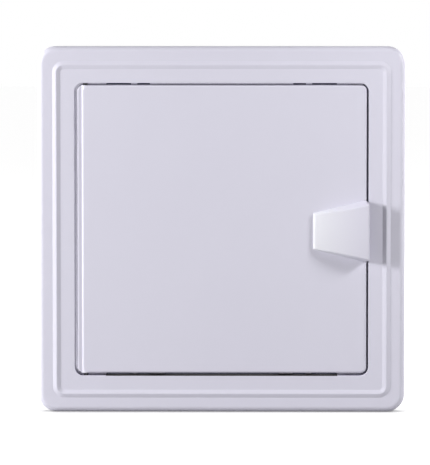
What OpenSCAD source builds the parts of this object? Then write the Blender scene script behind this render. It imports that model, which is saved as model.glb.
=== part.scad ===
// Bath access panel: a flanged frame whose spigot drops into a square cut-out in the wall, a hinged
// door, a wedge-shaped finger pull and a sprung catch.
// Every piece is drawn lying on its back, face up, with x across, y up the door and z out of the wall,
// and stand_up() turns it upright. The origin is the middle of the opening, in the plane of the wall.

/* [Opening and flange] */
// Side of the square opening
opening = 174.6; // [150:0.1:260]
// Radius of the opening's corners
opening_corner_r = 5; // [3:0.5:8]
// Radius of the opening's front edge
opening_edge_r = 0.5; // [0.3:0.1:1.5]
// Thickness of the wall round the opening
opening_wall = 2; // [1.6:0.1:3]
// Width of the channel between the opening's wall and the spigot
channel_w = 6.5; // [5:0.1:10]
// How far the flange covers the wall round the spigot
flange_cover = 11; // [9.5:0.5:20]
// How far the flange stands out of the wall
flange_h = 6.4; // [5.4:0.1:10]
// Thickness of the flange's skin
skin = 2.2; // [1.6:0.1:3]
// Radius of the flange's corners, seen from the front
flange_corner_r = 10.5; // [7:0.5:16]
// Radius of the flange's rounded outer edge
flange_edge_r = 3.2; // [1:0.1:4.4]

/* [Bead on the flange] */
// Distance from the flange's outer edge to the bead
bead_inset = 8.5; // [5:0.5:10]
// Width of the bead
bead_w = 4.8; // [3:0.1:7]
// Slope of the bead's sides
bead_slope = 22; // [12:1:40]
// Radius that rounds the bead's crest
bead_crest_r = 1.2; // [0.4:0.1:2]
// Inner radius of the bead's corners
bead_corner_r = 2; // [0.5:0.1:4]

/* [Spigot in the wall] */
// Depth of the spigot behind the wall's face
spigot_depth = 22; // [20:0.5:60]
// Thickness of the spigot's walls
spigot_wall = 2.2; // [1.6:0.1:3]
// Outer radius of the spigot's corners
spigot_corner_r = 5; // [3:0.5:8]
// Diameter of the screw holes in the spigot's sides
side_hole_d = 4.5; // [3:0.1:6]
// Distance between the two screw holes of a side
side_hole_pitch = 120; // [60:1:140]
// Distance of the screw holes behind the wall's face
side_hole_back = 11; // [6:0.5:14]
// Thickness of the board that the snap arms grip
board_t = 12.5; // [9:0.5:14]
// Width of a snap arm
arm_w = 12; // [8:0.5:14]
// Width of the slits beside a snap arm
arm_slit = 1.2; // [0.8:0.1:2]
// How far a snap arm's barb stands out
barb_h = 3; // [1.5:0.1:4]
// Thickness of the frame's ribs
frame_rib_t = 1.6; // [1:0.1:2.4]
// Distance between the ribs under the flange
frame_rib_pitch = 30; // [20:1:50]

/* [Lip behind the door] */
// Width of the lip, in from the opening's edge
lip_w = 3.5; // [2.5:0.1:6]
// Thickness of the lip
lip_t = 2; // [1.5:0.1:3]
// Radius of the lip's inner corners
lip_corner_r = 2; // [1:0.1:5]
// Distance from the middle to a pair of windows in the lip
window_x = 42.6; // [36:0.1:46]
// Length of the inner window of a pair
window_inner = 7.6; // [5:0.1:10]
// Length of the outer window of a pair
window_outer = 14.8; // [10:0.1:18]
// Width of the rib between the two windows
window_rib = 3.6; // [2:0.1:5]
// Length of the window in the middle of the bottom lip
window_middle = 68; // [20:1:70]

/* [Door] */
// Gap beside the door at the hinge
gap_hinge = 1.6; // [1.4:0.1:4]
// Gap beside the door at the catch
gap_latch = 1.2; // [1:0.1:2.5]
// Gap over the door
gap_top = 1.3; // [1:0.1:2.5]
// Gap under the door
gap_bottom = 1.7; // [1:0.1:2.5]
// How far the door's face stands in front of the flange
door_proud = 0.6; // [0:0.1:1.5]
// Thickness of the door's panel
door_plate = 2.4; // [2.2:0.1:2.8]
// Thickness of the rim behind the door's edges
door_rim = 1.8; // [1.4:0.1:2.2]
// Radius of the door's corners
door_corner_r = 3.2; // [2.8:0.1:5]
// Radius of the door's front edges
door_edge_r = 1.2; // [0.4:0.1:1.6]
// Width of the step along the door's hinge edge
step_w = 2.8; // [1.6:0.1:3]
// How far the step lies behind the door's face
step_drop = 1.2; // [0.8:0.1:1.2]
// Radius of the step's front edge
step_edge_r = 0.8; // [0.4:0.1:0.8]
// How far the door's panel stands out past the step and the rim on the other three sides
panel_over = 0.1; // [0.1:0.05:0.3]
// Gap between the door's rim and the lip
seat_gap = 0.3; // [0.2:0.1:0.6]
// Thickness of the ribs behind the door
door_rib_t = 1.4; // [1:0.1:2]
// Height of the ribs behind the door
door_rib_h = 4; // [2:0.1:5]
// Distance from the door's middle to its ribs
door_rib_x = 28; // [22:1:36]

/* [Hinge] */
// Distance of the hinge's axis from the door's edge
hinge_inset = 4.9; // [4.2:0.1:5]
// Distance of the hinge's axis behind the door's face
hinge_back = 3; // [2.9:0.1:3.4]
// Clearance that the swinging edge has over the lip
swing_clear = 0.4; // [0.3:0.1:1]
// Diameter of the hinge pins
pin_d = 2.6; // [2:0.1:2.8]
// Radial clearance of the pins in the door
pin_run = 0.08; // [0.05:0.01:0.1]
// Length of pin in the door, which is also the length of its knuckles
pin_in_door = 9; // [6:0.5:12]
// Length of pin in the frame
pin_in_frame = 6; // [4:0.5:6]
// Chamfer on a pin's ends
pin_chamfer = 0.3; // [0.1:0.1:0.6]
// Outer radius of the door's knuckles
knuckle_r = 2.8; // [2.5:0.1:2.9]

/* [Finger pull] */
// How far the finger pull and the catch sit below the door's middle
catch_drop = 0.8; // [0:0.1:10]
// Length of the finger pull
pull_l = 33.2; // [30:0.1:34]
// How far the finger pull reaches over the frame
pull_over = 0.4; // [0:0.1:1]
// Height of the finger pull at its open end
pull_h = 8.4; // [8:0.1:12]
// Radius of the finger pull's arched back
pull_arc_r = 83; // [80:1:160]
// Width of the finger pull's foot at its low end
pull_w_low = 21.7; // [21:0.1:27]
// Width of the finger pull's foot at its open end
pull_w_open = 37.8; // [36:0.1:44]
// Slope of the finger pull's sides
pull_draft = 15.5; // [12:0.5:23]
// Wall thickness of the finger pull
pull_wall = 2; // [1.4:0.1:2.4]
// Radius of the finger pull's low end
pull_nose_r = 1.2; // [0.4:0.1:1.6]
// Chamfer on the open end's corners
pull_chamfer = 2.2; // [0.5:0.1:3]
// Depth of the finger room from the open end
finger_depth = 16; // [12:0.5:16.5]

/* [Catch] */
// Width of the latch bolt
bolt_w = 8; // [6:0.1:8.6]
// Thickness of the latch bolt
bolt_t = 3.9; // [3.5:0.1:4.1]
// Length of the latch bolt without its nose
bolt_l = 14.2; // [12.5:0.1:15]
// Length of the bolt's ramped nose
bolt_nose = 2.6; // [2:0.1:3.2]
// Height of the flat at the tip of the nose
bolt_tip_t = 1.1; // [0.6:0.1:2]
// Gap between the drawn bolt and the frame
bolt_gap = 0.2; // [0.1:0.05:0.5]
// How far the bolt springs out from there
bolt_out = 1.2; // [0.6:0.1:1.8]
// Width of the bolt's shoulders
shoulder_w = 10; // [9.4:0.1:10.4]
// Length of the bolt's shoulders
shoulder_l = 5.6; // [4:0.1:6]
// Sliding clearance round the bolt
bolt_run = 0.3; // [0.2:0.05:0.4]
// Wall thickness of the latch body
latch_wall = 1.6; // [1.2:0.1:1.8]
// Gap between the latch body and the door's rim
latch_gap = 0.6; // [0.3:0.1:1]
// Thickness of the ears on the latch body
ear_t = 2; // [1.4:0.1:2.2]
// Height of the bosses under the front ears
boss_h = 2.4; // [2:0.1:2.6]
// Outer diameter of the spring
spring_d = 3.4; // [2.8:0.1:3.6]
// Wire diameter of the spring
spring_wire = 0.5; // [0.3:0.05:0.6]
// Number of turns of the spring
spring_turns = 6; // [4:1:8]
// Diameter of the pegs in the ends of the spring
spring_peg_d = 1.8; // [1:0.1:2]
// Length of the pegs in the ends of the spring
spring_peg_l = 2.2; // [1:0.1:2.4]
// Clearance round the bolt in the frame's window
strike_clear = 0.5; // [0.3:0.1:0.6]

/* [Screws] */
// Diameter of the screws' shanks
screw_d = 2.4; // [2:0.1:2.6]
// Diameter of the clearance holes for the screws
screw_hole_d = 3.2; // [3:0.1:3.6]
// Diameter of the screws' heads
head_d = 5.2; // [4.4:0.1:5.4]
// Height of the screws' heads
head_h = 1.7; // [1.2:0.1:2]
// Plastic left over the end of a screw
screw_cover = 1.2; // [1:0.1:1.4]

/* [Hidden] */
$fn = 96;
// Overlap that joins two shapes of one moulding, or takes a cut through a face
lap = 0.5;
moulding_colour = [0.86, 0.855, 0.9];
catch_colour = [0.93, 0.93, 0.92];
// The frame's half sizes, out from the middle
half_open = opening / 2;
half_wall = half_open + opening_wall;
half_channel = half_wall + channel_w;
half_spigot = half_channel + spigot_wall;
half_flange = half_spigot + flange_cover;
half_lip = half_open - lip_w;
flange_under = flange_h - skin;
bead_sink = 0.05;
crest_steps = 6;
// The door's edges and faces
door_x0 = -half_open + gap_hinge;
door_x1 = half_open - gap_latch;
door_y0 = -half_open + gap_bottom;
door_y1 = half_open - gap_top;
door_front = flange_h + door_proud;
plate_back = door_front - door_plate;
step_front = door_front - step_drop;
// The hinge's axis, and the lip set back behind the circle that the door's edge swings on
hinge_x = door_x0 + hinge_inset;
hinge_z = door_front - hinge_back;
swing_r = norm([hinge_inset, hinge_back]);
lip_front = hinge_z - swing_r - swing_clear;
lip_back = lip_front - lip_t;
arm_x = window_x + window_inner + window_rib + window_outer / 2;
rim_back = lip_front + seat_gap;
rim_back_hinge = hinge_z - hinge_back;
deep_x = hinge_x + knuckle_r + door_edge_r;
// The finger pull, and its arched back's centre
pull_x1 = half_open + pull_over;
pull_x0 = pull_x1 - pull_l;
pull_top = door_front + pull_h;
arc_z = pull_top - pull_arc_r;
nose_x = pull_x0 + pull_nose_r;
nose_z = arc_z + sqrt((pull_arc_r - pull_nose_r) ^ 2 - (pull_x1 - nose_x) ^ 2);
pull_splay = atan((pull_w_open - pull_w_low) / 2 / pull_l);
finger_x = pull_x1 - finger_depth;
// The catch: the bolt slides along x between the door's panel and the latch body's floor
bolt_tip = half_open - bolt_gap;
bolt_x1 = bolt_tip - bolt_nose;
bolt_x0 = bolt_x1 - bolt_l;
bolt_z1 = plate_back - bolt_run;
bolt_z0 = bolt_z1 - bolt_t;
bolt_z = (bolt_z0 + bolt_z1) / 2;
shoulder_x1 = bolt_x0 + shoulder_l;
stop_clear = 0.1;
mouth_x = shoulder_x1 + bolt_out + stop_clear;
latch_x1 = door_x1 - door_rim - latch_gap;
spring_l = 8;
spring_seat = 0.05;
latch_in_x = bolt_x0 - spring_l;
latch_x0 = latch_in_x - latch_wall;
chamber_w = shoulder_w + 2 * bolt_run;
latch_w = chamber_w + 2 * latch_wall;
mouth_w = bolt_w + 2 * bolt_run;
latch_in_z = bolt_z0 - bolt_run;
latch_z0 = latch_in_z - latch_wall;
// The screws stand beside the latch body: one pair under the finger pull, one pair near the door's rim
head_clear = 0.2;
ear_margin = 0.6;
screw_y = latch_w / 2 + head_d / 2 + head_clear;
ear_w = head_d + 2 * ear_margin;
handle_screw_x = latch_in_x + ear_w / 2;
latch_screw_x = latch_x1 - ear_w / 2;
handle_head_z = plate_back - ear_t;
boss_z = plate_back - boss_h;
latch_head_z = boss_z - ear_t;
boss_d = head_d;
// Height of the finger pull's back over a place along it
function pull_z(x) = arc_z + sqrt(pull_arc_r ^ 2 - (pull_x1 - x) ^ 2);
handle_screw_end = pull_z(handle_screw_x) - screw_cover;
latch_screw_end = door_front - screw_cover;

// Turns a piece upright, with its face to the front
module stand_up() {
    rotate([90, 0, 0]) children();
}

// A flat rectangle with rounded corners
module rounded_rect(x0, x1, y0, y1, r) {
    translate([x0 + r, y0]) square([x1 - x0 - 2 * r, y1 - y0]);
    translate([x0, y0 + r]) square([x1 - x0, y1 - y0 - 2 * r]);
    for (x = [x0 + r, x1 - r], y = [y0 + r, y1 - r]) translate([x, y]) circle(r);
}

// A slab with rounded corners, between two heights
module slab(x0, x1, y0, y1, r, z0, z1) {
    translate([0, 0, z0]) linear_extrude(height = z1 - z0) rounded_rect(x0, x1, y0, y1, r);
}

// A square slab about the middle
module square_slab(half, r, z0, z1) {
    slab(-half, half, -half, half, r, z0, z1);
}

// A box between two corners
module box(low, high) {
    translate(low) cube(high - low);
}

// A post that stands on a height, and one that lies along x or y
module post(x, y, d, z0, z1) {
    translate([x, y, z0]) cylinder(d = d, h = z1 - z0);
}

module rod_x(x0, x1, z, d) {
    translate([x0, 0, z]) rotate([0, 90, 0]) cylinder(d = d, h = x1 - x0);
}

module rod_y(x, y0, y1, z, d) {
    translate([x, y0, z]) rotate([-90, 0, 0]) cylinder(d = d, h = y1 - y0);
}

// Extrudes a profile of x and z across the width
module cross_extrude(w) {
    rotate([90, 0, 0]) linear_extrude(height = w, center = true) children();
}

// Carries a section round a rectangle: the section's x is measured from the centre of the corners
module carry_round(x0, x1, y0, y1, r) {
    corners = [[x1 - r, y1 - r], [x0 + r, y1 - r], [x0 + r, y0 + r], [x1 - r, y0 + r]];
    lengths = [y1 - y0 - 2 * r, x1 - x0 - 2 * r];
    middle = [(x0 + x1) / 2, (y0 + y1) / 2];
    starts = [[x1 - r, middle.y], [middle.x, y1 - r], [x0 + r, middle.y], [middle.x, y0 + r]];
    for (i = [0:3]) {
        translate(corners[i]) rotate([0, 0, 90 * i]) rotate_extrude(angle = 90) children();
        translate(starts[i]) rotate([0, 0, 90 * i]) cross_extrude(lengths[i % 2]) children();
    }
}

// The same round a square about the middle
module carry_square(half, r) {
    carry_round(-half, half, -half, half, r) children();
}

// The same on all four sides of the frame, each drawn as the right-hand one
module four_sides() {
    for (i = [0:3]) rotate([0, 0, 90 * i]) children();
}

// The same at the top and at the bottom
module top_and_bottom() {
    for (i = [0, 1]) mirror([0, i, 0]) children();
}

// Lowers what belongs to the finger pull and the catch to their height on the door
module at_catch() {
    translate([0, -catch_drop, 0]) children();
}

// A quarter disc under a front edge that is rounded
module quarter(r, x, z) {
    intersection() {
        translate([x - r, z - r]) circle(r);
        translate([x - r, z - r]) square(r);
    }
}

// Section of the flange's rim and its rounded edge
module rim_section() {
    edge_x = flange_corner_r - flange_edge_r;
    translate([flange_corner_r - skin, 0]) square([skin, flange_h - flange_edge_r]);
    translate([edge_x - lap, flange_under]) square([lap, skin]);
    quarter(flange_edge_r, flange_corner_r, flange_h);
}

// Section of the bead: two slopes that meet in a crest rounded in short steps, sunk a little into the flange
module bead_section() {
    foot = bead_w / 2;
    sunk = foot + bead_sink / tan(bead_slope);
    crest_z = flange_h + foot * tan(bead_slope) - bead_crest_r / cos(bead_slope);
    translate([bead_corner_r + foot, 0])
        polygon([
            [-sunk, flange_h - bead_sink],
            for (i = [0:crest_steps])
                let (a = bead_slope * (2 * i / crest_steps - 1))
                [bead_crest_r * sin(a), crest_z + bead_crest_r * cos(a)],
            [sunk, flange_h - bead_sink]
        ]);
}

// What rounding the opening's front edge takes away
module opening_edge_section() {
    difference() {
        translate([opening_corner_r - lap, flange_h - opening_edge_r]) square(opening_edge_r + lap);
        translate([opening_corner_r + opening_edge_r, flange_h - opening_edge_r]) circle(opening_edge_r);
    }
}

// Flange with its rounded rim and its bead
module flange() {
    inset = flange_edge_r + lap / 2;
    square_slab(half_flange - inset, flange_corner_r - inset, flange_under, flange_h);
    carry_square(half_flange, flange_corner_r) rim_section();
    carry_square(half_flange - bead_inset, bead_corner_r + bead_w) bead_section();
}

// Ribs under the flange, outside the spigot, and across the channel
module frame_ribs() {
    steps = floor(half_channel / frame_rib_pitch);
    four_sides() {
        for (i = [-steps:steps])
            translate([0, i * frame_rib_pitch - frame_rib_t / 2, 0])
                box([half_spigot - lap, 0, 0], [half_flange - skin / 2, frame_rib_t, flange_under + lap]);
        for (y = [window_x - channel_w, arm_x + arm_w / 2 + channel_w], s = [-1, 1])
            translate([0, s * y - frame_rib_t / 2, 0])
                box([half_wall - lap, 0, lip_back], [half_channel + lap, frame_rib_t, flange_under + lap]);
    }
}

// Windows cut in the lip on one side: a pair on each side of the middle
module lip_windows() {
    outer_x = window_x + window_inner + window_rib;
    for (s = [0, 1], window = [[window_x, window_inner], [outer_x, window_outer]])
        mirror([s, 0, 0]) translate([window[0], half_lip - lap, lip_back - lap])
            cube([window[1], lip_w + lap, lip_t + 2 * lap]);
}

// Slits that free a snap arm in the spigot's top wall
module arm_slits() {
    for (x = [arm_x - arm_w / 2 - arm_slit, arm_x + arm_w / 2])
        box([x, half_channel - lap, -spigot_depth - lap], [x + arm_slit, half_spigot + lap, -spigot_wall]);
}

// Barb of a snap arm: it catches behind the board and slopes in towards the spigot's end
module arm_barb() {
    catch_z = -board_t;
    nose = barb_h / 2;
    translate([arm_x, 0, 0]) rotate([0, 0, 90]) cross_extrude(arm_w)
        polygon([
            [half_spigot - lap, catch_z], [half_spigot, catch_z], [half_spigot + barb_h, catch_z - nose],
            [half_spigot + barb_h, catch_z - 2 * nose], [half_spigot, -spigot_depth],
            [half_spigot - lap, -spigot_depth]
        ]);
}

// Block that holds a hinge pin, across the channel
module hinge_boss() {
    box(
        [hinge_x - knuckle_r, half_wall - lap, hinge_z - knuckle_r],
        [hinge_x + knuckle_r, half_channel + lap, flange_under + lap]
    );
}

// Hole in the frame that the latch bolt springs into
module strike_window() {
    half_w = bolt_w / 2 + strike_clear;
    box(
        [half_open - lap, -half_w, bolt_z0 - strike_clear],
        [half_wall + lap, half_w, bolt_z1 + strike_clear]
    );
}

// One moulding: flange, wall round the opening, lip, spigot, ribs, snap arms and hinge bosses
module frame() {
    color(moulding_colour) stand_up() difference() {
        union() {
            flange();
            square_slab(half_wall, opening_corner_r + opening_wall, lip_back, flange_h);
            difference() {
                square_slab(half_spigot, spigot_corner_r, -spigot_depth, flange_under + lap);
                square_slab(half_channel, spigot_corner_r - spigot_wall, -spigot_depth - lap, flange_under);
                top_and_bottom() for (i = [0, 1]) mirror([i, 0, 0]) arm_slits();
            }
            frame_ribs();
            top_and_bottom() {
                hinge_boss();
                for (i = [0, 1]) mirror([i, 0, 0]) arm_barb();
            }
        }
        square_slab(half_open, opening_corner_r, lip_front, flange_h + lap);
        square_slab(half_lip, lip_corner_r, lip_back - lap, flange_h + lap);
        carry_square(half_open, opening_corner_r) opening_edge_section();
        top_and_bottom() {
            lip_windows();
            rod_y(hinge_x, half_open - lap, half_open + pin_in_frame, hinge_z, pin_d);
        }
        box(
            [-window_middle / 2, -half_open, lip_back - lap],
            [window_middle / 2, -half_lip + lap, lip_front + lap]
        );
        at_catch() strike_window();
        for (y = [-side_hole_pitch / 2, side_hole_pitch / 2])
            translate([-half_spigot - lap, y, -side_hole_back]) rotate([0, 90, 0])
                cylinder(d = side_hole_d, h = 2 * (half_spigot + lap));
    }
}

// Plate with a rounded front edge, set in from the door's outline at the hinge and on the other sides
module rounded_plate(hinge_in, side_in, edge_r, front) {
    x0 = door_x0 + hinge_in;
    x1 = door_x1 - side_in;
    y0 = door_y0 + side_in;
    y1 = door_y1 - side_in;
    r = door_corner_r;
    inset = edge_r + lap / 2;
    thick = front - plate_back;
    slab(x0 + inset, x1 - inset, y0 + inset, y1 - inset, r - inset, plate_back, front);
    carry_round(x0, x1, y0, y1, r) {
        translate([r - edge_r - lap, plate_back]) square([edge_r + lap, thick - edge_r]);
        translate([r - edge_r - lap, plate_back]) square([lap, thick]);
        quarter(edge_r, r, front);
    }
}

// Slab with the rim's outline, or set in from it
module rim_outline(set_in, z0, z1) {
    side_in = panel_over + set_in;
    slab(
        door_x0 + set_in, door_x1 - side_in, door_y0 + side_in, door_y1 - side_in,
        door_corner_r - set_in, z0, z1
    );
}

// Rim behind the door's edges
module shallow_rim() {
    difference() {
        rim_outline(0, rim_back_hinge, plate_back + lap / 4);
        rim_outline(door_rim, rim_back_hinge - lap, plate_back + lap);
    }
}

// The deeper rim on the three sides that don't swing in towards the lip
module deep_rim() {
    difference() {
        rim_outline(0, rim_back, rim_back_hinge + lap);
        rim_outline(door_rim, rim_back - lap, rim_back_hinge + 2 * lap);
        box(
            [door_x0 - lap, door_y0 - lap, rim_back - lap],
            [deep_x, door_y1 + lap, rim_back_hinge + 2 * lap]
        );
    }
}

// Two ribs each way behind the panel
module door_ribs() {
    rib_back = plate_back - door_rib_h;
    for (i = [-door_rib_x, door_rib_x]) {
        box(
            [door_x0 + door_rim / 2, i - door_rib_t / 2, rib_back],
            [door_x1 - door_rim / 2, i + door_rib_t / 2, plate_back + lap]
        );
        box(
            [i - door_rib_t / 2, door_y0 + door_rim / 2, rib_back],
            [i + door_rib_t / 2, door_y1 - door_rim / 2, plate_back + lap]
        );
    }
}

// A knuckle at each end of the hinge's edge, joined to the panel
module knuckles() {
    for (y = [[door_y0, door_y0 + pin_in_door], [door_y1 - pin_in_door, door_y1]]) {
        rod_y(hinge_x, y[0], y[1], hinge_z, 2 * knuckle_r);
        box([hinge_x - knuckle_r, y[0], hinge_z], [hinge_x + knuckle_r, y[1], plate_back + lap]);
    }
}

// One moulding: panel with its step, rim, ribs, knuckles and the bosses for the latch body
module door() {
    pin_hole_d = pin_d + 2 * pin_run;
    color(moulding_colour) stand_up() difference() {
        union() {
            rounded_plate(step_w, 0, door_edge_r, door_front);
            rounded_plate(0, panel_over, step_edge_r, step_front);
            shallow_rim();
            deep_rim();
            door_ribs();
            knuckles();
            at_catch() for (s = [-1, 1]) post(latch_screw_x, s * screw_y, boss_d, boss_z, plate_back + lap);
        }
        rod_y(hinge_x, door_y0 - lap, door_y0 + pin_in_door + lap, hinge_z, pin_hole_d);
        rod_y(hinge_x, door_y1 - pin_in_door - lap, door_y1 + lap, hinge_z, pin_hole_d);
        at_catch() {
            box(
                [door_x1 - door_rim - lap, -mouth_w / 2, rim_back - lap],
                [door_x1 + lap, mouth_w / 2, plate_back]
            );
            for (s = [-1, 1]) {
                post(handle_screw_x, s * screw_y, screw_hole_d, plate_back - lap, door_front + lap);
                post(latch_screw_x, s * screw_y, screw_d, boss_z - lap, latch_screw_end);
            }
        }
    }
}

// A plain pin with chamfered ends, along y
module hinge_pin(y0, y1) {
    r = pin_d / 2;
    l = y1 - y0;
    color("silver") stand_up() translate([hinge_x, y0, hinge_z]) rotate([-90, 0, 0])
        rotate_extrude() polygon([
            [0, 0], [r - pin_chamfer, 0], [r, pin_chamfer], [r, l - pin_chamfer], [r - pin_chamfer, l], [0, l]
        ]);
}

module upper_hinge_pin() {
    hinge_pin(door_y1 - pin_in_door, half_open + pin_in_frame);
}

module lower_hinge_pin() {
    hinge_pin(-half_open - pin_in_frame, door_y0 + pin_in_door);
}

// Side profile of the finger pull: an arched back that meets a rounded low end
module pull_profile() {
    lean = [nose_x - pull_x1, nose_z - arc_z] / (pull_arc_r - pull_nose_r);
    intersection() {
        translate([nose_x, nose_z]) circle(pull_nose_r);
        translate([pull_x0, door_front]) square([pull_l, pull_h]);
    }
    translate([pull_x0, door_front]) square([pull_l, nose_z - door_front]);
    intersection() {
        translate([pull_x1, arc_z]) circle(pull_arc_r, $fn = 720);
        polygon([
            [nose_x, door_front], [nose_x, nose_z], [nose_x, nose_z] + 2 * pull_nose_r * lean,
            [pull_x1, pull_top + lap], [pull_x1, door_front]
        ]);
    }
}

// What lies outside one sloping side of the finger pull, set in by a wall or not
module pull_side(set_in) {
    translate([pull_x0, pull_w_low / 2, door_front]) rotate([0, 0, pull_splay]) rotate([pull_draft, 0, 0])
        box([-pull_l, -set_in, -pull_l], [2 * pull_l, pull_l, 2 * pull_l]);
}

// The finger pull's outer form, with a chamfer on the corners of its open end
module pull_form() {
    difference() {
        cross_extrude(pull_w_open + 2 * lap) pull_profile();
        top_and_bottom() {
            pull_side(0);
            translate([pull_x1 - pull_chamfer, pull_w_open / 2, door_front - lap]) rotate([0, 0, -45])
                translate([-pull_l, 0, 0]) cube([2 * pull_l, pull_l, 2 * pull_h]);
        }
    }
}

// The hollow of the finger pull, open at the high end
module pull_hollow() {
    difference() {
        intersection() {
            translate([pull_x1, 0, arc_z]) cross_extrude(pull_w_open)
                circle(pull_arc_r - pull_wall, $fn = 720);
            box(
                [pull_x0 + pull_wall, -pull_w_open / 2, door_front - lap],
                [pull_x1 + lap, pull_w_open / 2, pull_top]
            );
        }
        top_and_bottom() pull_side(pull_wall);
    }
}

// Hollow shell with two screw bosses and a rib behind the finger room
module pull_handle() {
    color(moulding_colour) stand_up() at_catch() difference() {
        union() {
            difference() {
                pull_form();
                pull_hollow();
            }
            intersection() {
                pull_form();
                union() {
                    for (s = [-1, 1]) post(handle_screw_x, s * screw_y, boss_d, door_front, pull_top);
                    box(
                        [finger_x - pull_wall, -pull_w_open / 2, door_front],
                        [finger_x, pull_w_open / 2, pull_top]
                    );
                }
            }
        }
        for (s = [-1, 1]) post(handle_screw_x, s * screw_y, screw_d, door_front - lap, handle_screw_end);
    }
}

// An ear beside the latch body, with its screw hole
module ear(x, z0, z1) {
    top_and_bottom() difference() {
        slab(x - ear_w / 2, x + ear_w / 2, latch_w / 2 - lap, screw_y + ear_w / 2, ear_w / 4, z0, z1);
        post(x, screw_y, screw_hole_d, z0 - lap, z1 + lap);
    }
}

// Housing of the catch: a channel open towards the door's panel, narrow at its mouth
module latch_body() {
    color(catch_colour) stand_up() at_catch() {
        difference() {
            box([latch_x0, -latch_w / 2, latch_z0], [latch_x1, latch_w / 2, plate_back]);
            box([latch_in_x, -chamber_w / 2, latch_in_z], [mouth_x, chamber_w / 2, plate_back + lap]);
            box([mouth_x - lap, -mouth_w / 2, latch_in_z], [latch_x1 + lap, mouth_w / 2, plate_back + lap]);
        }
        rod_x(latch_in_x - lap, latch_in_x + spring_peg_l, bolt_z, spring_peg_d);
        ear(handle_screw_x, handle_head_z, plate_back);
        ear(latch_screw_x, latch_head_z, boss_z);
    }
}

// The sliding bolt, with a nose ramped on both faces and shoulders that stop it
module latch_bolt() {
    color(catch_colour) stand_up() at_catch() {
        box([bolt_x0, -bolt_w / 2, bolt_z0], [bolt_x1, bolt_w / 2, bolt_z1]);
        box([bolt_x0, -shoulder_w / 2, bolt_z0], [shoulder_x1, shoulder_w / 2, bolt_z1]);
        cross_extrude(bolt_w) polygon([
            [bolt_x1 - lap, bolt_z0], [bolt_x1, bolt_z0], [bolt_tip, bolt_z - bolt_tip_t / 2],
            [bolt_tip, bolt_z + bolt_tip_t / 2], [bolt_x1, bolt_z1], [bolt_x1 - lap, bolt_z1]
        ]);
        rod_x(bolt_x0 - spring_peg_l, bolt_x0 + lap, bolt_z, spring_peg_d);
    }
}

// A round wire wound along x: the points of ring i, and the faces between rings
module latch_spring() {
    sides = 6;
    per_turn = 14;
    rings = spring_turns * per_turn;
    coil_r = (spring_d - spring_wire) / 2;
    x0 = latch_in_x + spring_wire / 2 + spring_seat;
    x1 = bolt_x0 - spring_wire / 2 - spring_seat;
    points = [
        for (i = [0:rings], k = [0:sides - 1])
            let (turn = 360 * i / per_turn, a = 360 * k / sides, r = coil_r + spring_wire / 2 * cos(a))
                [x0 + (x1 - x0) * i / rings + spring_wire / 2 * sin(a), r * cos(turn), bolt_z + r * sin(turn)]
    ];
    walls = [
        for (i = [0:rings - 1], k = [0:sides - 1])
            let (n = (k + 1) % sides)
                [i * sides + k, i * sides + n, (i + 1) * sides + n, (i + 1) * sides + k]
    ];
    ends = [[for (k = [sides - 1:-1:0]) k], [for (k = [0:sides - 1]) rings * sides + k]];
    color("silver") stand_up() at_catch() polyhedron(points, concat(walls, ends));
}

// A pan-head screw with a cross recess, driven from behind
module screw(x, y, head_z, end_z) {
    slot_w = screw_d / 4;
    r = screw_d / 2;
    head_r = head_d / 2;
    translate([x, y, 0]) difference() {
        rotate_extrude() polygon([
            [0, head_z - head_h], [0.7 * head_r, head_z - head_h], [head_r, head_z - head_h / 2],
            [head_r, head_z], [r, head_z], [r, end_z - r], [r / 3, end_z], [0, end_z]
        ]);
        for (a = [0, 90]) rotate([0, 0, a]) translate([0, 0, head_z - head_h])
            cube([head_r, slot_w, head_h], center = true);
    }
}

module handle_screws() {
    color("silver") stand_up() at_catch() for (s = [-1, 1])
        screw(handle_screw_x, s * screw_y, handle_head_z, handle_screw_end);
}

module latch_screws() {
    color("silver") stand_up() at_catch() for (s = [-1, 1])
        screw(latch_screw_x, s * screw_y, latch_head_z, latch_screw_end);
}

frame();
door();
upper_hinge_pin();
lower_hinge_pin();
pull_handle();
latch_body();
latch_bolt();
latch_spring();
handle_screws();
latch_screws();
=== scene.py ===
# %% [markdown]
# # A bath access panel, dressed in Blender
#
# The object is a small white hatch: a square flanged frame that sits in a cut-out in the wall, a door that
# hinges at the left, and a wedge-shaped finger pull at the right with a sprung catch behind it. The shapes
# come from the construction model. This lesson gives them their moulded plastic and plated steel, replaces
# the few pieces whose soft edges, threads and coils a construction model leaves plain, and photographs the
# panel against white.

# %% Load the construction model
import math

import bmesh
import bpy
from mathutils import Matrix, Vector


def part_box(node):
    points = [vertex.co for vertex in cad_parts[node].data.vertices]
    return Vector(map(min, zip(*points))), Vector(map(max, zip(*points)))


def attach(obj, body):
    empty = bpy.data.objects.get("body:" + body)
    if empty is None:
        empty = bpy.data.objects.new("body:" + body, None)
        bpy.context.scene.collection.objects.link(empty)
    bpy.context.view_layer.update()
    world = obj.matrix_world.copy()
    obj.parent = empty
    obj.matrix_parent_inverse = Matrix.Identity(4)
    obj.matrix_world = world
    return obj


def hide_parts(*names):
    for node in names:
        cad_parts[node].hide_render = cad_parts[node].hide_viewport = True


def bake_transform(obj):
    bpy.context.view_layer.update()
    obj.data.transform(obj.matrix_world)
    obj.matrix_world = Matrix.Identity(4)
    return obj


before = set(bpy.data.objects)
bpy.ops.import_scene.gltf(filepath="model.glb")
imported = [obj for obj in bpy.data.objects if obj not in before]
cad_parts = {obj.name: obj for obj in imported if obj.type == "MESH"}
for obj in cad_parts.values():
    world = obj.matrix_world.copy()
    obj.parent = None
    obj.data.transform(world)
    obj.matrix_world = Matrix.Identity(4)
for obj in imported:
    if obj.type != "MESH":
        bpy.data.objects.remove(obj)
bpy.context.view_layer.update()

MM = 0.001
scene = bpy.context.scene

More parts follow.
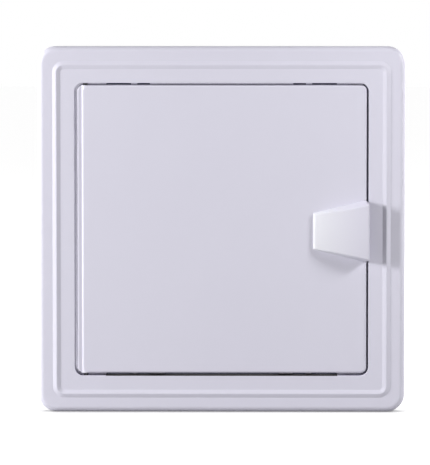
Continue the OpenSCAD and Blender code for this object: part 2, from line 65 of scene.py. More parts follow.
# %% [markdown]
# ## Node helpers
#
# Every finish below is a small network of shader nodes. Placing nodes by hand is slow to read, so one
# helper adds a node and sets its inputs, and another wires a noise texture to the object's own coordinates.
# Object coordinates are in metres and stay with the piece, so the grain doesn't slide when the door opens.

# %% Add nodes and noise
def add_node(tree, kind, inputs=None, **settings):
    """Adds a node, sets its properties and the unlinked inputs that are named."""
    node = tree.nodes.new(kind)
    for key, value in settings.items():
        setattr(node, key, value)
    for key, value in (inputs or {}).items():
        node.inputs[key].default_value = value
    return node


def add_noise(tree, scale, detail=2.0, stretch=(1, 1, 1)):
    """A noise texture on Object coordinates: scale is in patches per metre, stretch is per axis."""
    place = add_node(tree, "ShaderNodeTexCoord")
    spread = add_node(tree, "ShaderNodeMapping", {"Scale": stretch})
    noise = add_node(tree, "ShaderNodeTexNoise", {"Scale": scale, "Detail": detail})
    tree.links.new(place.outputs["Object"], spread.inputs["Vector"])
    tree.links.new(spread.outputs["Vector"], noise.inputs["Vector"])
    return noise.outputs["Fac"]


def add_range(tree, source, low, high):
    """Spreads a noise value between two numbers."""
    ends = {"From Min": 0.3, "From Max": 0.7, "To Min": low, "To Max": high}
    spread = add_node(tree, "ShaderNodeMapRange", ends)
    tree.links.new(source, spread.inputs["Value"])
    return spread.outputs["Result"]


def add_bump(tree, source, depth, strength=1.0, under=None):
    """Bump of a given depth in metres, stacked on another bump if one is given."""
    bump = add_node(tree, "ShaderNodeBump", {"Strength": strength, "Distance": depth})
    tree.links.new(source, bump.inputs["Height"])
    if under is not None:
        tree.links.new(under, bump.inputs["Normal"])
    return bump.outputs["Normal"]


def start_material(name, **sockets):
    """A new material with one Principled shader, whose constant sockets are set directly."""
    material = bpy.data.materials.new(name)
    material.use_nodes = True
    tree = material.node_tree
    shader = tree.nodes["Principled BSDF"]
    for key, value in sockets.items():
        shader.inputs[key.replace("_", " ")].default_value = value
    return material, tree, shader


def drift_colour(tree, shader, tones, share):
    """Base colour between two tones: share is a socket that gives the part of the second one."""
    drift = add_node(tree, "ShaderNodeMix", data_type="RGBA")
    drift.inputs["A"].default_value, drift.inputs["B"].default_value = tones
    tree.links.new(share, drift.inputs["Factor"])
    tree.links.new(drift.outputs["Result"], shader.inputs["Base Color"])


print("helpers for nodes are ready")


# %% [markdown]
# ## Moulded plastic
#
# The frame, the door and the finger pull are white ABS with a cool, faintly lavender cast and a satin gloss.
# A mirror finish would look like glass and a flat colour like paper. A moulding sits between them: the colour
# drifts by a percent or two over a hand's width, the gloss is uneven where the melt cooled at another rate,
# and the face carries two very shallow reliefs, a slow wave over the ribs and a fine orange peel.

# %% Satin moulding
MOULDING_TONES = ((0.655, 0.640, 0.738, 1), (0.675, 0.662, 0.755, 1))
SATIN = (0.42, 0.50)
WAVE_DEPTH = 0.06 * MM
PEEL_DEPTH = 0.004 * MM


def satin_moulding(name, tones, blend):
    """blend gives the share of the second tone."""
    material, tree, shader = start_material(name, IOR=1.5)
    drift_colour(tree, shader, tones, blend(tree))
    gloss = add_range(tree, add_noise(tree, 60, 4), *SATIN)
    tree.links.new(gloss, shader.inputs["Roughness"])
    wave = add_bump(tree, add_noise(tree, 24, 1), WAVE_DEPTH)
    peel = add_bump(tree, add_noise(tree, 700, 3), PEEL_DEPTH, under=wave)
    tree.links.new(peel, shader.inputs["Normal"])
    return material


def patches(tree):
    return add_noise(tree, 14)


MOULDING = satin_moulding("satin_white_moulding", MOULDING_TONES, patches)
print("made", MOULDING.name)

# %% [markdown]
# The finger pull has a moulding of its own with a painted highlight: near its tip its colour is whiter than
# the door's, standing in for the gloss of the left lamp on the tip, and towards its open end it takes on the
# door's cast. A gradient along X makes that change.

# %% Finger pull's plastic, with a painted highlight
PULL_TONES_PAINTED_HIGHLIGHT = ((0.700, 0.700, 0.745, 1), (0.668, 0.654, 0.745, 1))
PAINTED_HIGHLIGHT_TO = 55 * MM
CAST_FROM = 82 * MM


def coordinates(tree):
    """X, Y and Z of the object's own coordinates."""
    place = add_node(tree, "ShaderNodeTexCoord")
    split = add_node(tree, "ShaderNodeSeparateXYZ")
    tree.links.new(place.outputs["Object"], split.inputs[0])
    return split.outputs


# Share of the door's cast along X: the whiter tone towards the tip is a painted highlight.
def painted_tip_highlight(tree):
    spread = add_node(tree, "ShaderNodeMapRange", {"From Min": PAINTED_HIGHLIGHT_TO, "From Max": CAST_FROM})
    tree.links.new(coordinates(tree)["X"], spread.inputs["Value"])
    return spread.outputs["Result"]


PULL_MOULDING_PAINTED_HIGHLIGHT = satin_moulding("finger_pull_moulding_painted_highlight", PULL_TONES_PAINTED_HIGHLIGHT, painted_tip_highlight)
print("made", PULL_MOULDING_PAINTED_HIGHLIGHT.name)

# %% [markdown]
# The slot round the door is narrow, and the photograph shows a pale lip at its floor at the top and beside
# the hinge, and a nearly black line along the bottom. Ambient Occlusion tells a finish where its surface is
# closed in. The helpers below read it, compare a coordinate with a plane, and multiply two such masks.

# %% Masks
OCCLUSION_SAMPLES = 8


def openness(tree, distance):
    """1 in the open, and less where surfaces within the distance close the place in."""
    node = add_node(tree, "ShaderNodeAmbientOcclusion", {"Distance": distance}, samples=OCCLUSION_SAMPLES)
    return node.outputs["AO"]


def power(tree, source, exponent):
    raised = add_node(tree, "ShaderNodeMath", {1: exponent}, operation="POWER")
    tree.links.new(source, raised.inputs[0])
    return raised.outputs[0]


def near(tree, source, value, reach):
    """1 where a coordinate lies within reach of a value, and 0 elsewhere."""
    compare = add_node(tree, "ShaderNodeMath", {1: value, 2: reach}, operation="COMPARE")
    tree.links.new(source, compare.inputs[0])
    return compare.outputs[0]


def times(tree, first, second):
    """Product of a socket and another socket or number."""
    product = add_node(tree, "ShaderNodeMath", operation="MULTIPLY")
    tree.links.new(first, product.inputs[0])
    if isinstance(second, float):
        product.inputs[1].default_value = second
    else:
        tree.links.new(second, product.inputs[1])
    return product.outputs[0]


print("masks read occlusion with", OCCLUSION_SAMPLES, "samples")

# %% [markdown]
# The frame's finish is the same moulding with two stand-ins for light that a lamp can't bring into so thin a
# slot. Where the lip is closed in, it reflects like polished metal, which no plastic does, but which shows
# the bright surround as the photograph's lip does: a painted reflection. Where the sill is closed in, its
# colour is darkened and quite matt: painted shade. With the door open neither place is closed in by the door,
# and the frame is nearly plain white.

# %% Frame's plastic, with a painted reflection on the lip and painted shade on the sill
LIP_FACE = 2.145 * MM
LIP_END = 84 * MM
LIP_GLOSS = 0.12
SILL = -87.3 * MM
SILL_REACH = 69 * MM
SILL_SHADE_FALL = 5.0
SLOT_DEPTH = 6 * MM


def mix_roughness(tree, shader, mask, value):
    """Moves the roughness that is already linked towards a value, by a mask."""
    mix = add_node(tree, "ShaderNodeMix", {"B": value}, data_type="FLOAT")
    tree.links.new(mask, mix.inputs["Factor"])
    tree.links.new(shader.inputs["Roughness"].links[0].from_socket, mix.inputs["A"])
    tree.links.new(mix.outputs["Result"], shader.inputs["Roughness"])


# Painted reflection: where the door closes the lip in, the lip turns metallic and glossy.
def paint_lip_reflection(tree, shader, at, open_share):
    closed = add_node(tree, "ShaderNodeMath", {0: 1.0}, operation="SUBTRACT")
    tree.links.new(open_share, closed.inputs[1])
    off_catch = add_node(tree, "ShaderNodeMath", {1: LIP_END}, operation="LESS_THAN")
    tree.links.new(at["X"], off_catch.inputs[0])
    face = times(tree, near(tree, at["Y"], LIP_FACE, 0.1 * MM), off_catch.outputs[0])
    lip = times(tree, face, closed.outputs[0])
    tree.links.new(lip, shader.inputs["Metallic"])
    mix_roughness(tree, shader, lip, LIP_GLOSS)


# Painted shade: where the door closes the sill in, its colour is darkened.
def paint_sill_shade(tree, shader, at, open_share):
    sill = times(tree, near(tree, at["Z"], SILL, 0.2 * MM), near(tree, at["X"], 0, SILL_REACH))
    painted_shade = add_node(tree, "ShaderNodeMix", data_type="RGBA", blend_type="MULTIPLY")
    tree.links.new(sill, painted_shade.inputs["Factor"])
    tree.links.new(shader.inputs["Base Color"].links[0].from_socket, painted_shade.inputs["A"])
    tree.links.new(power(tree, open_share, SILL_SHADE_FALL), painted_shade.inputs["B"])
    tree.links.new(painted_shade.outputs["Result"], shader.inputs["Base Color"])
    mix_roughness(tree, shader, sill, 1.0)


def frame_moulding_painted_slot_light():
    material = satin_moulding("frame_moulding_painted_slot_light", MOULDING_TONES, patches)
    tree = material.node_tree
    shader = tree.nodes["Principled BSDF"]
    at = coordinates(tree)
    open_share = openness(tree, SLOT_DEPTH)
    paint_lip_reflection(tree, shader, at, open_share)
    paint_sill_shade(tree, shader, at, open_share)
    return material


FRAME_MOULDING_PAINTED_SLOT_LIGHT = frame_moulding_painted_slot_light()
print("made", FRAME_MOULDING_PAINTED_SLOT_LIGHT.name)

# %% [markdown]
# The catch is moulded in acetal, a waxy plastic that is duller and a little warmer than the panel. Its
# surface is matt, so a higher roughness and a slightly coarser grain are enough.

# %% Catch plastic
CATCH_TONES = ((0.78, 0.78, 0.75, 1), (0.82, 0.82, 0.80, 1))
CATCH_MATT = (0.48, 0.6)
CATCH_GRAIN = 0.01 * MM


def catch_plastic():
    material, tree, shader = start_material("matt_catch_plastic", IOR=1.48)
    drift_colour(tree, shader, CATCH_TONES, add_noise(tree, 120))
    tree.links.new(add_range(tree, add_noise(tree, 400, 3), *CATCH_MATT), shader.inputs["Roughness"])
    tree.links.new(add_bump(tree, add_noise(tree, 1500, 2), CATCH_GRAIN), shader.inputs["Normal"])
    return material


CATCH = catch_plastic()
print("made", CATCH.name)

# %% [markdown]
# Screws and the spring are zinc-plated steel, and the hinge pins have a black oxide finish, so that they
# don't shine through the gap. Drawn wire and turned pins carry lines along or round their axis. Noise that is
# stretched along one axis, up to a hundredfold, gives those lines, in the roughness and as a shallow bump.

# %% Steel
ZINC = (0.60, 0.61, 0.62, 1), (0.72, 0.72, 0.70, 1)
BLACK_OXIDE = (0.030, 0.030, 0.034, 1), (0.055, 0.055, 0.057, 1)
STEEL_GLOSS = (0.22, 0.38)
LINE_DEPTH = 0.003 * MM


def steel(name, tones, stretch):
    material, tree, shader = start_material(name, Metallic=1.0)
    drift_colour(tree, shader, tones, add_noise(tree, 500))
    lines = add_noise(tree, 4000, 2, stretch)
    tree.links.new(add_range(tree, lines, *STEEL_GLOSS), shader.inputs["Roughness"])
    tree.links.new(add_bump(tree, lines, LINE_DEPTH), shader.inputs["Normal"])
    return material


STEEL_PIN = steel("black_steel_pin", BLACK_OXIDE, (1, 1, 0.01))
STEEL_TURNED = steel("plated_steel_turned", ZINC, (1, 0.05, 1))
STEEL_WIRE = steel("plated_steel_wire", ZINC, (0.05, 1, 1))
print("made", STEEL_PIN.name, STEEL_TURNED.name, STEEL_WIRE.name)

# %% [markdown]
# ## Mesh helpers
#
# New pieces start as a bmesh, Blender's editable mesh. A piece is finished the same way each time: merge
# what touches, turn the faces outwards, shade it smooth apart from its sharp edges, give it its finish and
# let it ride on the part that carries it.

# %% Finish a piece
def finish_mesh(bm, name, sharp_angle=32):
    """A mesh object at the origin from a bmesh, smooth but for edges sharper than an angle in degrees."""
    bmesh.ops.remove_doubles(bm, verts=bm.verts, dist=0.001 * MM)
    bmesh.ops.recalc_face_normals(bm, faces=bm.faces)
    mesh = bpy.data.meshes.new(name)
    bm.to_mesh(mesh)
    bm.free()
    mesh.shade_smooth()
    mesh.set_sharp_from_angle(angle=math.radians(sharp_angle))
    piece = bpy.data.objects.new(name, mesh)
    scene.collection.objects.link(piece)
    return piece


def dress(piece, material):
    """Gives a new piece its finish."""
    piece.data.materials.clear()
    piece.data.materials.append(material)
    print(piece.name, "has", len(piece.data.polygons), "faces")
    return piece


def cut_away(piece, cutter):
    """Takes one closed mesh out of another, and removes the cutter."""
    modifier = piece.modifiers.new("cut", "BOOLEAN")
    modifier.operation = "DIFFERENCE"
    modifier.solver = "EXACT"
    modifier.object = cutter
    graph = bpy.context.evaluated_depsgraph_get()
    result = bpy.data.meshes.new_from_object(piece.evaluated_get(graph))
    piece.modifiers.clear()
    piece.data = result
    bpy.data.objects.remove(cutter)
    return piece


# %% [markdown]
# ## Finger pull
#
# The finger pull is a hollow wedge: a long arched back that rises from a low rounded tip to an open end, with
# two sloping sides that splay apart. Fingertips reach in at the open end. It could be cut from the
# construction model, but its soft edges catch most of the light in the photograph, so it is built again with
# real fillets. The arch is drawn by spinning one vertex, the prism by extruding the profile, the sloping
# sides by slicing with planes, and the fillets by a bevel. The hollow is a second, smaller wedge that is cut
# out of the first: a solidify would leave its rim slanted, and the rim has to lie flat on the door.

# %% Wedge of the finger pull
pull_low, pull_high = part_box("pull_handle")
door_low, door_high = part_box("door")
DOOR_FACE = door_low.y
PULL_MID_Z = (pull_low.z + pull_high.z) / 2
ARCH_R = 83 * MM
FOOT_TIP = 21.7 * MM
FOOT_OPEN = 37.8 * MM
DRAFT = math.radians(15.5)
PULL_WALL = 2 * MM
CORNER_CUT = 2.2 * MM
PAST = 1 * MM


def cut_by_plane(bm, point, normal):
    """Slices off what lies beyond a plane and closes the cut."""
    geom = bm.verts[:] + bm.edges[:] + bm.faces[:]
    cut = bmesh.ops.bisect_plane(bm, geom=geom, plane_co=point, plane_no=normal, clear_outer=True)
    edges = [e for e in cut["geom_cut"] if isinstance(e, bmesh.types.BMEdge)]
    bmesh.ops.edgenet_fill(bm, edges=edges)


def wedge(set_in, past):
    """The wedge in a bmesh, with its walls set in, and run on past its open faces."""
    x0, x1 = pull_low.x + set_in, pull_high.x
    base, arch_y = DOOR_FACE + past, pull_low.y + ARCH_R
    radius = ARCH_R - set_in
    bm = bmesh.new()
    start = math.asin((pull_high.x - x0) / radius)
    first = bm.verts.new((pull_high.x - radius * math.sin(start), arch_y - radius * math.cos(start), 0))
    arch = bmesh.ops.spin(
        bm, geom=[first], cent=(pull_high.x, arch_y, 0), axis=(0, 0, 1), angle=start, steps=20,
    )
    last = [v for v in arch["geom_last"] if isinstance(v, bmesh.types.BMVert)][0]
    loop = [bm.verts.new((x1 + past, last.co.y, 0))] if past else []
    corners = [last] + loop + [bm.verts.new((x1 + past, base, 0)), bm.verts.new((first.co.x, base, 0)), first]
    for a, b in zip(corners, corners[1:]):
        bm.edges.new((a, b))
    profile = bmesh.ops.edgenet_fill(bm, edges=bm.edges[:])["faces"]
    prism = bmesh.ops.extrude_face_region(bm, geom=profile)["geom"]
    top = [v for v in prism if isinstance(v, bmesh.types.BMVert)]
    bmesh.ops.translate(bm, verts=top, vec=(0, 0, FOOT_OPEN + 2 * PAST))
    bmesh.ops.translate(bm, verts=bm.verts, vec=(0, 0, PULL_MID_Z - FOOT_OPEN / 2 - PAST))
    splay = math.atan((FOOT_OPEN - FOOT_TIP) / 2 / (pull_high.x - pull_low.x))
    for side in (-1, 1):
        lean = math.cos(DRAFT)
        normal = Vector((-math.sin(splay) * lean, -math.sin(DRAFT), side * math.cos(splay) * lean))
        foot = Vector((pull_low.x, DOOR_FACE, PULL_MID_Z + side * FOOT_TIP / 2))
        cut_by_plane(bm, foot - set_in * normal, normal)
        if not set_in:
            corner = Vector((pull_high.x - CORNER_CUT, DOOR_FACE, PULL_MID_Z + side * FOOT_OPEN / 2))
            cut_by_plane(bm, corner, Vector((1, 0, side)).normalized())
    bmesh.ops.recalc_face_normals(bm, faces=bm.faces)
    return bm


# %% [markdown]
# The fillets come next. An edge is rounded if the two faces that meet there turn by more than a few degrees
# and it doesn't lie on the door. The tip has a larger radius than the other edges, as the wide white
# highlight along it shows.

# %% Round the wedge
TIP_R = 1.3 * MM
EDGE_R = 0.7 * MM


def round_edges(bm, picked, radius, segments):
    bmesh.ops.bevel(
        bm, geom=picked, offset=radius, offset_type="OFFSET", affect="EDGES",
        segments=segments, profile=0.5, material=-1, clamp_overlap=True,
    )


def is_sharp(edge, turn=8):
    lifted = any(v.co.y < DOOR_FACE - 0.01 * MM for v in edge.verts)
    return lifted and len(edge.link_faces) == 2 and edge.calc_face_angle() > math.radians(turn)


def is_tip(edge):
    a, b = edge.verts
    at_tip = max(a.co.x, b.co.x) < pull_low.x + 0.01 * MM
    return is_sharp(edge) and at_tip and abs(a.co.y - b.co.y) < 0.01 * MM


def rounded_wedge():
    bm = wedge(0, 0)
    round_edges(bm, [e for e in bm.edges if is_tip(e)], TIP_R, 5)
    round_edges(bm, [e for e in bm.edges if is_sharp(e, 20)], EDGE_R, 4)
    return finish_mesh(bm, "soft_finger_pull")


# %% [markdown]
# Behind the finger room stands a rib, and the two screws bite into bosses. They are what the hollow leaves
# standing, so they are taken out of the hollow before the hollow is taken out of the wedge.

# %% Hollow the wedge
BOSS_R = 2.6 * MM
BORE_R = 1.2 * MM
FINGER_DEPTH = 16 * MM
HEAD_R = 2.6 * MM
screw_low, screw_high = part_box("handle_screws")
SCREW_X = (screw_low.x + screw_high.x) / 2
SCREW_Z = (screw_low.z + HEAD_R, screw_high.z - HEAD_R)


def block(name, low, high):
    """A box between two corners."""
    low, high = Vector(low), Vector(high)
    bm = bmesh.new()
    bmesh.ops.create_cube(bm, size=1)
    bmesh.ops.scale(bm, verts=bm.verts, vec=high - low)
    bmesh.ops.translate(bm, verts=bm.verts, vec=(low + high) / 2)
    return finish_mesh(bm, name)


def post(name, z, radius, y0, y1):
    """A round post over a screw, between two depths."""
    bm = bmesh.new()
    place = Matrix.Translation((SCREW_X, (y0 + y1) / 2, z)) @ Matrix.Rotation(math.radians(90), 4, "X")
    bmesh.ops.create_cone(
        bm, cap_ends=True, segments=48, radius1=radius, radius2=radius, depth=y1 - y0, matrix=place,
    )
    return finish_mesh(bm, name)


def finger_pull():
    hollow = finish_mesh(wedge(PULL_WALL, PAST), "hollow")
    rib_x = pull_high.x - FINGER_DEPTH
    cut_away(hollow, block(
        "rib", (rib_x - PULL_WALL, pull_low.y, pull_low.z), (rib_x, DOOR_FACE, pull_high.z),
    ))
    for z in SCREW_Z:
        cut_away(hollow, post("boss", z, BOSS_R, pull_low.y, DOOR_FACE))
    shell = cut_away(rounded_wedge(), hollow)
    for z in SCREW_Z:
        cut_away(shell, post("bore", z, BORE_R, screw_low.y, DOOR_FACE + PAST))
    shell.data.set_sharp_from_angle(angle=math.radians(32))
    return shell


pull = finger_pull()
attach(pull, "door_body")
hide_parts("pull_handle")
dress(pull, PULL_MOULDING_PAINTED_HIGHLIGHT)

# %% [markdown]
# ## Screws
#
# Four small screws hold the catch: one pair goes on into the finger pull, the other into bosses on the door.
# The construction model draws their threads as plain shanks of the crest's size. Here each has a pan head
# with a tapered cross recess and a coarse thread for plastic. The head and the core are one outline spun
# about the axis, and the thread is a small face spun on along it.

# %% One screw
HEAD_H = 1.7 * MM
HEAD_EDGE = 0.75 * MM
CREST_R = 1.2 * MM
CORE_R = 0.88 * MM
POINT_L = 0.8 * MM
POINT_R = 0.3 * MM
SLOT_SIZE = (3.0 * MM, 2.2 * MM, 0.62 * MM)
SLOT_TAPER = (0.3, 1, 0.7)
PITCH = 0.9 * MM
TURN_STEPS = 24
AXIS = (0, 1, 0)


def screw_body(length):
    """Head and core about the Y axis: the seat at the origin, the point at minus the length."""
    bend = [math.radians(a) for a in range(0, 91, 18)]
    edge = [(HEAD_R - HEAD_EDGE * (1 - math.sin(a)), HEAD_H - HEAD_EDGE * (1 - math.cos(a))) for a in bend]
    point = [(CORE_R, 0), (CORE_R, POINT_L - length), (POINT_R, -length), (0, -length)]
    bm = bmesh.new()
    verts = [bm.verts.new((r, y, 0)) for r, y in [(0, HEAD_H)] + edge + [(HEAD_R, 0)] + point]
    edges = [bm.edges.new(pair) for pair in zip(verts, verts[1:])]
    bmesh.ops.spin(
        bm, geom=verts + edges, cent=(0, 0, 0), axis=AXIS, angle=2 * math.pi, steps=48, use_merge=True,
    )
    return finish_mesh(bm, "screw_body")


def recess(turn):
    """One tapered slot of the cross."""
    bm = bmesh.new()
    verts = bmesh.ops.create_cube(bm, size=1)["verts"]
    bmesh.ops.scale(bm, verts=verts, vec=SLOT_SIZE)
    bmesh.ops.scale(bm, verts=[v for v in verts if v.co.y < 0], vec=SLOT_TAPER)
    bmesh.ops.translate(bm, verts=verts, vec=(0, HEAD_H, 0))
    bmesh.ops.rotate(bm, verts=verts, cent=(0, 0, 0), matrix=Matrix.Rotation(math.radians(turn), 3, "Y"))
    return finish_mesh(bm, "recess")


def thread(bm, length):
    """A ridge wound round the core, from under the head to the point."""
    turns = int((length - 1.2 * MM) / PITCH)
    start = -0.5 * PITCH
    foot, crest, inside = 0.36 * PITCH, 0.06 * PITCH, CORE_R - 0.05 * MM
    lower = [(inside, start - foot), (CREST_R, start - crest)]
    corners = lower + [(CREST_R, start + crest), (inside, start + foot)]
    ridge = bm.faces.new([bm.verts.new((r, y, 0)) for r, y in corners])
    bmesh.ops.spin(
        bm, geom=[ridge], cent=(0, 0, 0), axis=AXIS, dvec=(0, -PITCH / TURN_STEPS, 0),
        angle=2 * math.pi * turns, steps=TURN_STEPS * turns,
    )


# %% [markdown]
# The screws come in pairs, one pair to a node. Each pair reads its seats, its places and its length from the
# box of the construction piece that it replaces. The two recesses of a pair are turned by different angles,
# as a screwdriver leaves them.

# %% Both pairs
def screw_pair(name, node):
    """Two screws that replace a node: their seats, places and length come from its box."""
    low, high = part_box(node)
    seat = high.y - HEAD_H
    body = screw_body(seat - low.y)
    for turn in (0, 90):
        cut_away(body, recess(turn))
    bm = bmesh.new()
    bm.from_mesh(body.data)
    thread(bm, seat - low.y)
    bm.to_mesh(body.data)
    bm.clear()
    for z, turn in ((low.z + HEAD_R, 20), (high.z - HEAD_R, 65)):
        seat_place = Matrix.Translation(((low.x + high.x) / 2, seat, z))
        place = seat_place @ Matrix.Rotation(math.radians(turn), 4, "Y")
        before = len(bm.verts)
        bm.from_mesh(body.data)
        bm.verts.ensure_lookup_table()
        bmesh.ops.transform(bm, matrix=place, verts=bm.verts[before:])
    bpy.data.objects.remove(body)
    pair = finish_mesh(bm, name)
    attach(pair, "door_body")
    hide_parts(node)
    return dress(pair, STEEL_TURNED)


screw_pair("threaded_handle_screws", "handle_screws")
screw_pair("threaded_latch_screws", "latch_screws")

# %% [markdown]
# ## Spring
#
# The spring pushes the bolt out. It is wound from round wire: one dead turn lies against each end, and five
# open turns between them take the travel. A disc of the wire's size is spun about the axis in three runs,
# each with its own pitch. The spring is squeezed when the bolt slides.

# %% Coil spring
WIRE_R = 0.25 * MM
COIL_R = 1.45 * MM
DEAD_PITCH = 2.1 * WIRE_R
OPEN_TURNS = 5
spring_low, spring_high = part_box("latch_spring")
SPRING_MID = (spring_low + spring_high) / 2


def wind(bm, disc, turns, pitch):
    """Winds a disc on along X, and gives back the disc at the end of the run."""
    steps = TURN_STEPS * turns
    run = bmesh.ops.spin(
        bm, geom=[disc], cent=SPRING_MID, axis=(1, 0, 0), dvec=(pitch / TURN_STEPS, 0, 0),
        angle=2 * math.pi * turns, steps=steps,
    )
    return [f for f in run["geom_last"] if isinstance(f, bmesh.types.BMFace)][0]


def coil_spring():
    bm = bmesh.new()
    x0, x1 = spring_low.x + WIRE_R, spring_high.x - WIRE_R
    start = Matrix.Translation((x0, SPRING_MID.y, SPRING_MID.z + COIL_R))
    place = start @ Matrix.Rotation(math.radians(90), 4, "X")
    ring = bmesh.ops.create_circle(bm, cap_ends=True, segments=12, radius=WIRE_R, matrix=place)["verts"]
    disc = wind(bm, ring[0].link_faces[0], 1, DEAD_PITCH)
    disc = wind(bm, disc, OPEN_TURNS, (x1 - x0 - 2 * DEAD_PITCH) / OPEN_TURNS)
    wind(bm, disc, 1, DEAD_PITCH)
    return finish_mesh(bm, "coil_spring")


spring = dress(coil_spring(), STEEL_WIRE)
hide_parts("latch_spring")
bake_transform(spring)

# %% [markdown]
# ## The remaining construction pieces
#
# The frame, the door, the catch and the hinge pins already have their real shapes, so they only take a
# finish. Their objects stay where they are.

# %% Finishes on the construction pieces
def paint(node, material):
    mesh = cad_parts[node].data
    mesh.materials.clear()
    mesh.materials.append(material)


paint("frame", FRAME_MOULDING_PAINTED_SLOT_LIGHT)
paint("door", MOULDING)
paint("pull_handle", PULL_MOULDING_PAINTED_HIGHLIGHT)
for name in ("latch_body", "latch_bolt"):
    paint(name, CATCH)
for name in ("upper_hinge_pin", "lower_hinge_pin"):
    paint(name, STEEL_PIN)
for name in ("handle_screws", "latch_screws"):
    paint(name, STEEL_TURNED)
paint("latch_spring", STEEL_WIRE)
print("painted", len(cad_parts), "construction pieces")

# %% [markdown]
# ## Camera
#
# The panel was photographed with a long lens from a little above: the upper edge is longer than the lower one
# by half a percent, and the open end of the finger pull sits lower against its foot. The distance and the
# direction are set from those two clues, and the lens from the panel's width in the picture.

# %% Camera
AZIMUTH = math.radians(0.35)
ELEVATION = math.radians(5.35)
DISTANCE = 3.0
LENS_PX = 5036
IMAGE_H = 465
SENSOR = 36
AIM = Vector((-3.9 * MM, 0, -2.2 * MM))


def direction(azimuth, elevation):
    """Unit vector from the panel towards a place round it: azimuth 0 is straight in front."""
    flat = math.cos(elevation)
    return Vector((math.sin(azimuth) * flat, -math.cos(azimuth) * flat, math.sin(elevation)))


camera = bpy.data.objects.new("camera", bpy.data.cameras.new("camera"))
scene.collection.objects.link(camera)
camera.data.sensor_width = SENSOR
camera.data.lens = LENS_PX * SENSOR / IMAGE_H
camera.data.clip_end = 100
camera.location = AIM + DISTANCE * direction(AZIMUTH, ELEVATION)
camera.rotation_euler = direction(AZIMUTH, ELEVATION).to_track_quat("Z", "Y").to_euler()
scene.camera = camera
print("lens, mm:", round(camera.data.lens))

# %% [markdown]
# ## Lights
#
# The shadows of the finger pull tell where the lamps were. A strong one throws a long shadow to the right and
# grazes the face, so it stands low and well round to the left. A weak one throws a short shadow down and to
# the left, so it stands at the right and higher. Both shadows have fairly crisp edges, so the lamps are small
# for their distance. The surround fills very little, as the shadows are deep. Two broad lamps behind the
# panel never reach the front and show the back to whoever walks round.

# %% Lamps
def lamp(name, towards, distance, size, power):
    data = bpy.data.lights.new(name, "AREA")
    data.shape = "RECTANGLE"
    data.size, data.size_y = size
    data.energy = power
    obj = bpy.data.objects.new(name, data)
    away = Vector(towards).normalized()
    obj.location = distance * away
    obj.rotation_euler = away.to_track_quat("Z", "Y").to_euler()
    scene.collection.objects.link(obj)
    print(name, "stands at", [round(v, 2) for v in obj.location])
    return obj


lamp("left_lamp", (-2.6, -1, 0.72), 1.1, (0.25, 0.3), 15.2)
lamp("right_lamp", (2.05, -1, 1.1), 0.65, (0.15, 0.15), 2.8)
lamp("back_lamp", (0.9, 1, 0.25), 1.2, (0.6, 0.6), 4.0)
lamp("back_left_lamp", (-1.3, 1, 0.35), 1.2, (0.6, 0.6), 7.0)

# %% [markdown]
# ## Surround, floor and the dark behind the wall
#
# The picture's background is pure white, but white light from all round would wash the panel out. Light Path
# separates the two: rays that the camera sends out, or that gloss and glass send on, see white, and all
# other rays see a nearly black grey.

# %% World
AMBIENT = (0.03, 0.03, 0.03, 1)


def seen_directly(tree):
    """1 for rays from the camera, and for rays that gloss or glass send on."""
    path = add_node(tree, "ShaderNodeLightPath")
    total = path.outputs["Is Camera Ray"]
    for name in ("Is Glossy Ray", "Is Transmission Ray"):
        add = add_node(tree, "ShaderNodeMath", operation="ADD", use_clamp=True)
        tree.links.new(total, add.inputs[0])
        tree.links.new(path.outputs[name], add.inputs[1])
        total = add.outputs[0]
    return total


world = bpy.data.worlds.new("surround")
scene.world = world
world.use_nodes = True
tree = world.node_tree
tree.nodes.clear()
grey = add_node(tree, "ShaderNodeBackground", {"Color": AMBIENT, "Strength": 1.0})
white = add_node(tree, "ShaderNodeBackground", {"Color": (1, 1, 1, 1), "Strength": 1.0})
either = add_node(tree, "ShaderNodeMixShader")
out = add_node(tree, "ShaderNodeOutputWorld")
tree.links.new(seen_directly(tree), either.inputs[0])
tree.links.new(grey.outputs[0], either.inputs[1])
tree.links.new(white.outputs[0], either.inputs[2])
tree.links.new(either.outputs[0], out.inputs["Surface"])

print("ambient light:", AMBIENT[0])

# %% [markdown]
# The floor, the dark card and the flag are all square sheets. They belong to the studio and not to the
# object. A sheet can be hidden from chosen kinds of ray, and its finish can let the camera through from
# behind, so that it never hides the panel.

# %% Studio sheets
UPRIGHT = Matrix.Rotation(math.radians(90), 4, "X")


def square_sheet(name, size, turn, place):
    bm = bmesh.new()
    matrix = Matrix.Translation(place) @ turn
    bmesh.ops.create_grid(bm, x_segments=1, y_segments=1, size=size / 2, matrix=matrix)
    mesh = bpy.data.meshes.new(name)
    bm.to_mesh(mesh)
    bm.free()
    sheet = bpy.data.objects.new(name, mesh)
    scene.collection.objects.link(sheet)
    return sheet


def hide_from(sheet, rays):
    for kind in rays:
        setattr(sheet, "visible_" + kind, False)


def one_sided(tree, surface):
    """Lets the camera through from behind."""
    side = add_node(tree, "ShaderNodeNewGeometry")
    clear = add_node(tree, "ShaderNodeBsdfTransparent")
    mix = add_node(tree, "ShaderNodeMixShader")
    tree.links.new(side.outputs["Backfacing"], mix.inputs[0])
    tree.links.new(surface, mix.inputs[1])
    tree.links.new(clear.outputs[0], mix.inputs[2])
    tree.links.new(mix.outputs[0], tree.nodes["Material Output"].inputs["Surface"])


frame_low, frame_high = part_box("frame")
print("frame stands on", round(frame_low.z / MM, 1), "mm")

# %% [markdown]
# The floor works like the world: to the camera it is lit and also glows nearly white, and to other rays it is
# a plain grey. Its glow fades where the panel's foot closes it in, a painted contact shadow that leaves the
# thin dark line of contact that the photograph shows. Shadows on it stay, as they are in the lit part.

# %% Floor
FLOOR_SIZE = 6.0
FLOOR_GREY = (0.5, 0.5, 0.5, 1)
GLOW = 0.9
FOOT_SHADE = 16 * MM
FOOT_SHADOW_FALL = 2.5


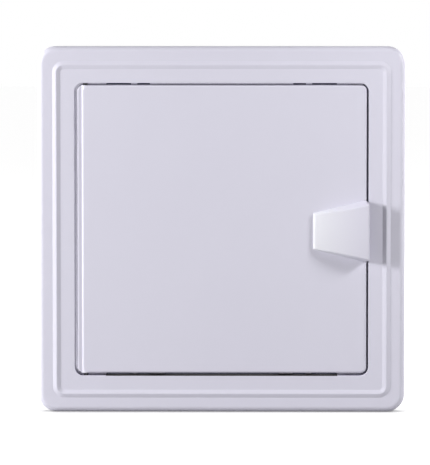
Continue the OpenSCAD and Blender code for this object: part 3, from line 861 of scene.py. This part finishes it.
def floor_finish():
    material, tree, shader = start_material("pale_floor", Base_Color=FLOOR_GREY, Roughness=1.0)
    glow = add_node(tree, "ShaderNodeEmission", {"Color": (1, 1, 1, 1)})
    # Painted contact shadow: the glow fades where the panel's foot closes the floor in.
    painted_contact_shadow = power(tree, openness(tree, FOOT_SHADE), FOOT_SHADOW_FALL)
    tree.links.new(times(tree, painted_contact_shadow, GLOW), glow.inputs["Strength"])
    both = add_node(tree, "ShaderNodeAddShader")
    pick = add_node(tree, "ShaderNodeMixShader")
    tree.links.new(shader.outputs[0], both.inputs[0])
    tree.links.new(glow.outputs[0], both.inputs[1])
    tree.links.new(seen_directly(tree), pick.inputs[0])
    tree.links.new(shader.outputs[0], pick.inputs[1])
    tree.links.new(both.outputs[0], pick.inputs[2])
    one_sided(tree, pick.outputs[0])
    return material


floor = square_sheet("floor", FLOOR_SIZE, Matrix.Identity(4), (0, 0, frame_low.z))
floor.data.materials.append(floor_finish())
print("floor at", round(frame_low.z / MM, 1), "mm")

# %% [markdown]
# Through the slots round the door the photograph looks into the dark of the wall, so a dark card, painted
# shade that glows a very deep blue, closes the spigot. It takes no light. Only the camera sees it, and only
# from the front.

# %% Dark card
CARD_SIZE = 191 * MM
CARD_BACK = 0.8 * MM
# Painted shade: the very deep blue that the card glows with.
PAINTED_WALL_SHADE = (0.003, 0.005, 0.024, 1)


def card_finish():
    material, tree, shader = start_material("painted_shade_of_the_wall")
    tree.nodes.remove(shader)
    dark = add_node(tree, "ShaderNodeEmission", {"Color": PAINTED_WALL_SHADE, "Strength": 1.0})
    one_sided(tree, dark.outputs[0])
    return material


card = square_sheet("card", CARD_SIZE, UPRIGHT, (0, frame_high.y - CARD_BACK, 0))
card.data.materials.append(card_finish())
hide_from(card, ("diffuse", "glossy", "transmission", "shadow", "volume_scatter"))
print("card at", round(card.data.vertices[0].co.y / MM, 1), "mm")

# %% [markdown]
# The left lamp grazes the face but meets the spigot's left side nearly square on, and turns it plain white.
# In use that side is inside the wall. A photographer keeps a lamp off one place with a black flag, so one
# stands beside the panel in the wall's plane, clear of the floor. It only casts a shadow, and no camera sees
# it.

# %% Flag
FLAG_SIZE = 210 * MM
FLAG_PAST_RIM = 0.5 * MM
FLAG_LIFT = 20 * MM
FLAG_BLACK = (0.02, 0.02, 0.02, 1)

flag_x = frame_low.x - FLAG_PAST_RIM - FLAG_SIZE / 2
flag_z = frame_low.z + FLAG_LIFT + FLAG_SIZE / 2
flag = square_sheet("flag", FLAG_SIZE, UPRIGHT, (flag_x, 0, flag_z))
flag.data.materials.append(start_material("black_flag", Base_Color=FLAG_BLACK, Roughness=1.0)[0])
hide_from(flag, ("camera", "diffuse", "glossy", "transmission", "volume_scatter"))
print("flag ends at x", round((flag_x + FLAG_SIZE / 2) / MM, 1), "mm")

# %% [markdown]
# ## Finish
#
# The view transform is Standard, so a colour renders as it is written.

# %% Finish
scene.view_settings.view_transform = "Standard"
